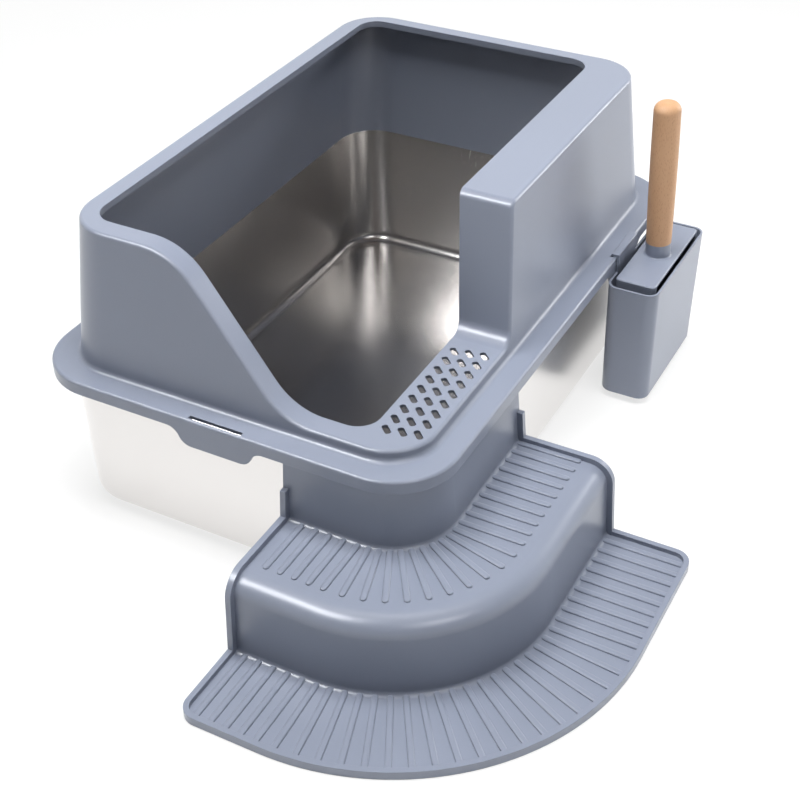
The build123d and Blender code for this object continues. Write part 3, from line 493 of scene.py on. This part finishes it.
# %% Build the tree of both treads
CORNER_INSET = 0.043
TREADS = {
    "Upper": {
        "Rail Reach": 0.049 + CORNER_INSET,
        "First Margin": 0.020,
        "Last Margin": 0.008,
        "Rib Count": 25,
        "Rib Start": 0.0165 + CORNER_INSET,
        "Rib End": 0.0797 + CORNER_INSET,
        "Tread Height": 0.080,
    },
    "Lower": {
        "Rail Reach": 0.129 + CORNER_INSET,
        "First Margin": 0.015,
        "Last Margin": 0.015,
        "Rib Count": 33,
        "Rib Start": 0.109 + CORNER_INSET,
        "Rib End": 0.1885 + CORNER_INSET,
        "Tread Height": 0.004,
    },
}
RIB_SIZES = {tread + " " + name: value
             for tread, values in TREADS.items() for name, value in values.items()}


def mesh_tree(name, values):
    """A tree that takes a mesh, the given sizes and a finish, and gives a mesh."""
    tree = bpy.data.node_groups.new(name, "GeometryNodeTree")
    tree.interface.new_socket("Geometry", in_out="INPUT", socket_type="NodeSocketGeometry")
    tree.interface.new_socket("Geometry", in_out="OUTPUT", socket_type="NodeSocketGeometry")
    add_inputs(tree, values)
    tree.interface.new_socket("Finish", in_out="INPUT", socket_type="NodeSocketMaterial")
    return tree, node(tree, "NodeGroupInput").outputs


def tread_ribs_tree():
    """Both fans in one tree. Its inputs carry the names of the two treads."""
    tree, given = mesh_tree("tread_ribs", RIB_SIZES)
    joined = node(tree, "GeometryNodeJoinGeometry")
    for tread, values in TREADS.items():
        fan = node(tree, "GeometryNodeGroup", {"node_tree": rib_fan})
        for name in values:
            tree.links.new(given[tread + " " + name], fan.inputs[name])
        tree.links.new(fan.outputs[0], joined.inputs[0])
    real = node(tree, "GeometryNodeRealizeInstances", Geometry=joined.outputs[0])
    smooth = node(tree, "GeometryNodeSetShadeSmooth", Geometry=real.outputs[0])
    painted = node(tree, "GeometryNodeSetMaterial", Geometry=smooth.outputs[0],
                   Material=given["Finish"])
    node(tree, "NodeGroupOutput", Geometry=painted.outputs[0])
    return tree


# %% Lay the ribs of both treads
def made_by_tree(name, tree, values, mesh):
    """Runs a tree on a mesh and returns the result as an object with a plain mesh."""
    carrier = bpy.data.objects.new(name + "_carrier", mesh)
    bpy.context.collection.objects.link(carrier)
    modifier = carrier.modifiers.new(name, "NODES")
    modifier.node_group = tree
    inputs = [item for item in tree.interface.items_tree if item.in_out == "INPUT"]
    sockets = {item.name: item.identifier for item in inputs}
    for socket_name, value in values.items():
        modifier[sockets[socket_name]] = value
    ready = carrier.evaluated_get(bpy.context.evaluated_depsgraph_get())
    made_mesh = bpy.data.meshes.new_from_object(ready)
    made_mesh.name = name
    bpy.data.objects.remove(carrier)
    made = bpy.data.objects.new(name, made_mesh)
    bpy.context.collection.objects.link(made)
    return made


tread_ribs = made_by_tree("tread_ribs", tread_ribs_tree(), {**RIB_SIZES, "Finish": steps_finish},
                          bpy.data.meshes.new("empty_start"))
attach(tread_ribs, "steps")
print("ribs:", len(tread_ribs.data.polygons), "faces, top at",
      round(1000 * max(v.co.z for v in tread_ribs.data.vertices), 2), "mm")

# %% [markdown]
# ## The cover's litter slots
# The shelf in front of the riser is pierced by 27 slots, through which litter falls off the
# paws and back into the pan. In the photograph they are longer, slimmer and turned further
# than the model's. The model's own mesh is left as it is, so a copy of the cover stands for it.
# First the copy's loose triangles are merged into one closed skin, and the model's slots
# are closed: their walls are deleted and both rims filled, flush with the shelf.

# %% Copy the cover and close the model's slots
SLOT_INPUTS = {
    "Columns": 3,
    "Rows": 9,
    "First X": 0.1393,
    "First Y": -0.2458,
    "Column Pitch": 0.0137,
    "Row Pitch": 0.0161,
    "Row Skew": 0.0027,
    "Shelf Top": 0.165,
    "Slot Length": 0.0126,
    "Slot Width": 0.0058,
    "Slot Corner": 0.0024,
    "Slot Turn": math.radians(-45.0),
}
SHELF_THICKNESS = 0.003
MODEL_SLOT_REACH = 0.0052
WALL_NORMAL_Z = 0.5
MERGE_DISTANCE = 1e-6


def slot_centres():
    """Where the slots are in plan, on slightly skewed rows and columns."""
    given = SLOT_INPUTS
    for column in range(given["Columns"]):
        for row in range(given["Rows"]):
            x = given["First X"] + column * given["Column Pitch"]
            y = given["First Y"] + row * given["Row Pitch"] + column * given["Row Skew"]
            yield Vector((x, y))


def close_model_slots(skin):
    centres = list(slot_centres())
    shelf = SLOT_INPUTS["Shelf Top"]

    def is_slot_wall(face):
        middle = face.calc_center_median()
        within_shelf = shelf - SHELF_THICKNESS < middle.z < shelf
        if abs(face.normal.z) > WALL_NORMAL_Z or not within_shelf:
            return False
        return any((middle.xy - centre).length < MODEL_SLOT_REACH for centre in centres)

    walls = [face for face in skin.faces if is_slot_wall(face)]
    bmesh.ops.delete(skin, geom=walls, context="FACES")
    rims = [edge for edge in skin.edges if edge.is_boundary]
    lids = bmesh.ops.holes_fill(skin, edges=rims, sides=0)["faces"]
    bmesh.ops.recalc_face_normals(skin, faces=skin.faces)
    return len(walls), len(lids)


def closed_cover_skin():
    skin = bmesh.new()
    skin.from_mesh(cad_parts["high_side_cover"].data)
    bmesh.ops.remove_doubles(skin, verts=skin.verts, dist=MERGE_DISTANCE)
    walls, lids = close_model_slots(skin)
    print("slot walls taken out:", walls, "rims closed:", lids,
          "open edges left:", sum(not edge.is_manifold for edge in skin.edges))
    mesh = bpy.data.meshes.new("cover_skin")
    skin.to_mesh(mesh)
    skin.free()
    return mesh


cover_skin = closed_cover_skin()

# %% [markdown]
# ## Cut the slots
# A hole could be drawn in a shader or cut with a modifier for each. A Geometry Nodes tree
# does better here: rows, pitch and turn stay named numbers, and the edges are real. The
# cutter is a short cylinder whose four quarters are moved apart, which makes a rounded
# rectangle. One point for each slot is placed by its index, the cutters stand on the
# points, and a mesh Boolean takes them out of the skin.

# %% Helpers for the slots' tree
CUTTER_SIDES = 24
CUTTER_HEIGHT = 0.009


def half_straight(tree, given, size):
    """Half of what a side keeps straight between its two rounded corners."""
    corners = calc(tree, "MULTIPLY", given["Slot Corner"], -1.0)
    return calc(tree, "MULTIPLY_ADD", given[size], 0.5, corners)


def slot_cutter(tree, given):
    """A rounded rectangle prism about the origin."""
    prism = node(tree, "GeometryNodeMeshCylinder", Vertices=CUTTER_SIDES,
                 Radius=given["Slot Corner"], Depth=CUTTER_HEIGHT)
    prism = node(tree, "GeometryNodeTransform", Geometry=prism.outputs["Mesh"],
                 Rotation=(0.0, 0.0, math.pi / CUTTER_SIDES))
    place = node(tree, "GeometryNodeInputPosition").outputs[0]
    part = node(tree, "ShaderNodeSeparateXYZ", Vector=place).outputs
    x = signed_by(tree, part["X"], half_straight(tree, given, "Slot Length"))
    y = signed_by(tree, part["Y"], half_straight(tree, given, "Slot Width"))
    return node(tree, "GeometryNodeSetPosition", Geometry=prism.outputs[0],
                Offset=xyz(tree, x, y)).outputs[0]


def slot_points(tree, given):
    """One point for each slot: the index gives its row and column."""
    index = node(tree, "GeometryNodeInputIndex").outputs[0]
    row = calc(tree, "FLOOR", calc(tree, "DIVIDE", index, given["Columns"]))
    before = calc(tree, "MULTIPLY", row, given["Columns"])
    column = calc(tree, "SUBTRACT", index, before)
    x = calc(tree, "MULTIPLY_ADD", column, given["Column Pitch"], given["First X"])
    y = calc(tree, "MULTIPLY_ADD", column, given["Row Skew"], given["First Y"])
    y = calc(tree, "MULTIPLY_ADD", row, given["Row Pitch"], y)
    count = calc(tree, "MULTIPLY", given["Rows"], given["Columns"])
    return node(tree, "GeometryNodePoints", Count=count,
                Position=xyz(tree, x, y, given["Shelf Top"])).outputs[0]


# %% Build the tree and cut
def litter_slots_tree():
    tree, given = mesh_tree("litter_slots", SLOT_INPUTS)
    cutters = node(tree, "GeometryNodeInstanceOnPoints", Points=slot_points(tree, given),
                   Instance=slot_cutter(tree, given),
                   Rotation=xyz(tree, 0.0, 0.0, given["Slot Turn"]))
    cutters = node(tree, "GeometryNodeRealizeInstances", Geometry=cutters.outputs[0])
    pierced = node(tree, "GeometryNodeMeshBoolean",
                   {"operation": "DIFFERENCE", "solver": "EXACT"})
    tree.links.new(given["Geometry"], pierced.inputs["Mesh 1"])
    tree.links.new(cutters.outputs[0], pierced.inputs["Mesh 2"])
    real = node(tree, "GeometryNodeRealizeInstances", Geometry=pierced.outputs[0])
    painted = node(tree, "GeometryNodeSetMaterial", Geometry=real.outputs[0],
                   Material=given["Finish"])
    node(tree, "NodeGroupOutput", Geometry=painted.outputs[0])
    return tree


cover_moulding = made_by_tree("cover_moulding", litter_slots_tree(),
                              {**SLOT_INPUTS, "Finish": cover_finish}, cover_skin)
print("cover:", len(cover_moulding.data.polygons), "faces")

# %% [markdown]
# ## Bring the model's shading back
# The CAD mesh carries normals that say how its curved faces run between the corners of its
# triangles, and a Boolean drops them. Each face of the new skin lies on a triangle of the
# model, so the model's normals are read there and set again as custom normals. Only the
# walls of the new slots have no such triangle, and they keep their own.

# %% Carry the normals over
SAME_FACING = 0.999


def carry_normals(skin, model):
    corners = [vertex.co for vertex in model.vertices]
    search = BVHTree.FromPolygons(corners, [face.vertices[:] for face in model.polygons])
    shading = [item.vector.copy() for item in model.corner_normals]
    own_walls = 0
    normals = []
    for face in skin.polygons:
        source = model.polygons[search.find_nearest(face.center)[2]]
        if face.normal.dot(source.normal) < SAME_FACING:
            own_walls += 1
            normals.extend([face.normal.copy()] * len(face.vertices))
            continue
        triangle = [corners[index] for index in source.vertices]
        around = [shading[index] for index in source.loop_indices]
        for index in face.vertices:
            weights = poly_3d_calc(triangle, skin.vertices[index].co)
            blend = sum((weight * normal for weight, normal in zip(weights, around)), Vector())
            normals.append(blend.normalized())
    skin.polygons.foreach_set("use_smooth", [True] * len(skin.polygons))
    skin.normals_split_custom_set(normals)
    return own_walls


model_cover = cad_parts["high_side_cover"].data
print("faces with normals of their own:", carry_normals(cover_moulding.data, model_cover))
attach(cover_moulding, "cover")
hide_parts("high_side_cover")

# %% [markdown]
# ## Floor and surroundings
# The photograph has a white floor that runs into a white background with hardly a shadow.
# More light would bleach the object, so the white comes from the materials: to the camera
# the floor is mostly a plain white that glows, with a share of real surface under it that
# still takes the object's shadow. Two metres away no shadow falls, and only the glow is
# left, so the floor meets the world without an edge. In reflections it glows a little more,
# because a floor that a camera records as pure white is in truth brighter than white.

# %% Make the floor
FLOOR_REACH = 9.0
FLOOR_DROP = 0.0002
FLOOR_PAPER = (0.9, 0.9, 0.9, 1.0)
SEEN_WHITE = (1.0, 1.0, 0.995, 1.0)
MIRRORED_WHITE = 1.4
FLOOR_GLOW_SHARE = 0.7
SHADOWS_FADE = 0.8
SHADOWS_END = 2.2


def path_kind(tree, *kinds):
    """1 for rays of any of the given kinds, else 0."""
    path = node(tree, "ShaderNodeLightPath").outputs
    found = path[kinds[0]]
    for kind in kinds[1:]:
        found = calc(tree, "MAXIMUM", found, path[kind])
    return found


def shared(tree, share, one, other):
    """The first shader, with a share of the other."""
    return node(tree, "ShaderNodeMixShader", i0=share, i1=one, i2=other).outputs[0]


def white_floor():
    material = new_finish("white_studio_floor")
    tree = material.node_tree
    paper = node(tree, "ShaderNodeBsdfDiffuse", Color=FLOOR_PAPER).outputs[0]
    brightness = between(tree, path_kind(tree, "Is Glossy Ray"), 1.0, MIRRORED_WHITE)
    glow = node(tree, "ShaderNodeEmission", Color=SEEN_WHITE, Strength=brightness).outputs[0]
    place = node(tree, "ShaderNodeTexCoord").outputs["Object"]
    distance = node(tree, "ShaderNodeVectorMath", {"operation": "LENGTH"}, i0=place)
    glow_share = between(tree, distance.outputs["Value"], FLOOR_GLOW_SHARE, 1.0,
                         SHADOWS_FADE, SHADOWS_END)
    seen = path_kind(tree, "Is Camera Ray", "Is Glossy Ray", "Is Transmission Ray")
    share = calc(tree, "MULTIPLY", seen, glow_share)
    return finish_surface(material, shared(tree, share, paper, glow))


def lay_floor(reach):
    corners = [(-reach, -reach, 0), (reach, -reach, 0), (reach, reach, 0), (-reach, reach, 0)]
    mesh = bpy.data.meshes.new("studio_floor")
    mesh.from_pydata(corners, [], [(0, 1, 2, 3)])
    mesh.materials.append(white_floor())
    floor = bpy.data.objects.new("studio_floor", mesh)
    bpy.context.collection.objects.link(floor)
    floor.location.z = -FLOOR_DROP
    return floor


studio_floor = lay_floor(FLOOR_REACH)
print("floor is", 2 * FLOOR_REACH, "m wide")

# %% [markdown]
# ## The world
# What the steel shows is its surroundings, so they need some care. Near the horizon the
# room is white. Overhead it is a dim brown-grey, as a studio's ceiling is, and that is what
# makes the inside of the pan dark and warm. Behind the object the white reaches higher, so
# that every level face, which mirrors that side to the camera, carries a pale sheen. Towards
# the camera it ends lower, as if dark cloth hung there, and the pan's back wall stays dark.
# The light that falls on dull surfaces is set apart. It is stronger from above and fades
# towards the camera, so that faces turned that way are the deepest ones.

# %% Helpers for the world
BEHIND_OBJECT = (-0.47, 0.88, 0.0)
TOWARDS_VIEWER = (0.53, -0.85, 0.0)
WHITE_REACHES_HIGHER = 0.42
WHITE_STAYS_LOWER = 0.32
WHITE_ENDS = 0.15
CEILING_STARTS = 0.5
MIRRORED_HORIZON = (1.15, 1.15, 1.15, 1.0)
MIRRORED_CEILING = (0.115, 0.095, 0.09, 1.0)
DAYLIGHT = (0.95, 0.97, 1.0, 1.0)
LIGHT_FROM_SIDES = 0.32
LIGHT_FROM_ABOVE = 0.55
FADE_STARTS = 0.25
FADE_ENDS = 0.85
FADED_LIGHT = 0.05


def share_towards(tree, direction, side):
    """1 straight towards that side, 0 across it and beyond."""
    facing = node(tree, "ShaderNodeVectorMath", {"operation": "DOT_PRODUCT"},
                  i0=direction, i1=side)
    return calc(tree, "MAXIMUM", facing.outputs["Value"], 0.0)


def background(tree, colour, strength):
    return node(tree, "ShaderNodeBackground", Color=colour, Strength=strength).outputs[0]


def mirrored_room(tree, height, behind, viewer):
    """White near the horizon and dim overhead, with the border moved on two sides."""
    border = calc(tree, "MULTIPLY_ADD", behind, -WHITE_REACHES_HIGHER, height)
    border = calc(tree, "MULTIPLY_ADD", viewer, WHITE_STAYS_LOWER, border)
    ceiling = node(tree, "ShaderNodeMapRange", {"interpolation_type": "SMOOTHSTEP"},
                   Value=border, From_Min=WHITE_ENDS, From_Max=CEILING_STARTS)
    tone = two_tones(tree, ceiling.outputs[0], MIRRORED_HORIZON, MIRRORED_CEILING)
    return background(tree, tone, 1.0)


def light_on_dull_surfaces(tree, height, viewer):
    level = between(tree, height, LIGHT_FROM_SIDES, LIGHT_FROM_ABOVE)
    shade = between(tree, viewer, 1.0, FADED_LIGHT, FADE_STARTS, FADE_ENDS)
    return background(tree, DAYLIGHT, calc(tree, "MULTIPLY", level, shade))


# %% Make the world
def studio_world():
    world = bpy.data.worlds.new("studio")
    world.use_nodes = True
    tree = world.node_tree
    tree.nodes.clear()
    direction = node(tree, "ShaderNodeTexCoord").outputs["Generated"]
    height = node(tree, "ShaderNodeSeparateXYZ", Vector=direction).outputs["Z"]
    behind = share_towards(tree, direction, BEHIND_OBJECT)
    viewer = share_towards(tree, direction, TOWARDS_VIEWER)
    unseen = shared(tree, path_kind(tree, "Is Glossy Ray"),
                    light_on_dull_surfaces(tree, height, viewer),
                    mirrored_room(tree, height, behind, viewer))
    whole = shared(tree, path_kind(tree, "Is Camera Ray", "Is Transmission Ray"),
                   unseen, background(tree, SEEN_WHITE, 1.0))
    node(tree, "ShaderNodeOutputWorld", Surface=whole)
    return world


bpy.context.scene.world = studio_world()
print("world:", bpy.context.scene.world.name)

# %% [markdown]
# ## The lamps
# Treads, shelf and flange are clearly lighter than the walls, so the main lamp is a large
# soft box straight overhead. It would burn a white patch into every level face, so it is
# hidden from reflections. A small one stands low behind on the right, near the holder: it
# makes the back end of the long side and the holder's outer face the brightest walls, as
# they are in the photograph. The other two light no dull surface and are only seen mirrored.
# The left one gives the bright patch on the pan's floor, the pale foot of the riser and the
# streak on the steps' nose. The right one, mirrored by the pan's rounded corner, draws the
# upright streak there. To find where such a panel has to stand, follow the line from the
# camera to the highlight and turn it back at the surface, as a ball would bounce.

# %% Light the studio
def soft_lamp(name, place, target, width, height, watts, only_mirrored=False):
    data = bpy.data.lights.new(name, "AREA")
    data.shape = "RECTANGLE"
    data.size = width
    data.size_y = height
    data.energy = watts
    lamp = bpy.data.objects.new(name, data)
    bpy.context.collection.objects.link(lamp)
    lamp.location = place
    lamp.rotation_mode = "QUATERNION"
    lamp.rotation_quaternion = (Vector(target) - Vector(place)).to_track_quat("-Z", "Y")
    lamp.visible_diffuse = not only_mirrored
    return lamp


overhead = soft_lamp("overhead_soft_box", place=(0.1, -0.2, 1.9), target=(0.1, -0.2, 0.0),
                     width=1.5, height=0.7, watts=53.0)
overhead.visible_glossy = False
soft_lamp("back_right_soft_box", place=(0.72, 0.92, 0.5), target=(0.24, 0.2, 0.15),
          width=0.35, height=0.35, watts=5.2)
soft_lamp("left_sheen_panel", place=(-0.6, -1.2, 1.62), target=(0.0, 0.0, 0.1),
          width=1.3, height=0.6, watts=60.0, only_mirrored=True)
soft_lamp("corner_streak_panel", place=(1.86, -1.33, 1.8), target=(0.0, 0.1, 0.1),
          width=1.15, height=0.8, watts=24.0, only_mirrored=True)
